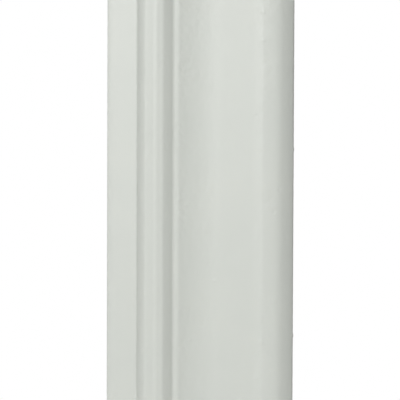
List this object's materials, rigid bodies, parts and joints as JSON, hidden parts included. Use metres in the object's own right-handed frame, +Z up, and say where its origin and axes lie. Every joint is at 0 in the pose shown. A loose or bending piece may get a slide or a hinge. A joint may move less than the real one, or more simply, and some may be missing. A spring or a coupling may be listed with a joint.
{
  "type": "door architrave",
  "caption": "Straight length of painted door architrave with a flat outer band, cavetto, ovolo, fillet, wide cove, flat field and rolled inner edge, flat at the back to lie on the wall.",
  "frame": {"origin": "middle of the flat back, half way up the length and half way across the width", "axes": "+Z up along the length, -Y out of the wall where the moulded face looks, -X towards the thick outer edge, +X towards the thin edge beside the door"},
  "size_m": [0.07, 0.025, 0.152],
  "materials": {
    "painted_fibreboard": "off-white satin paint over a machined face, with a slight orange peel"
  },
  "bodies": {
    "root": {"architrave": "painted_fibreboard"}
  },
  "joints": []
}
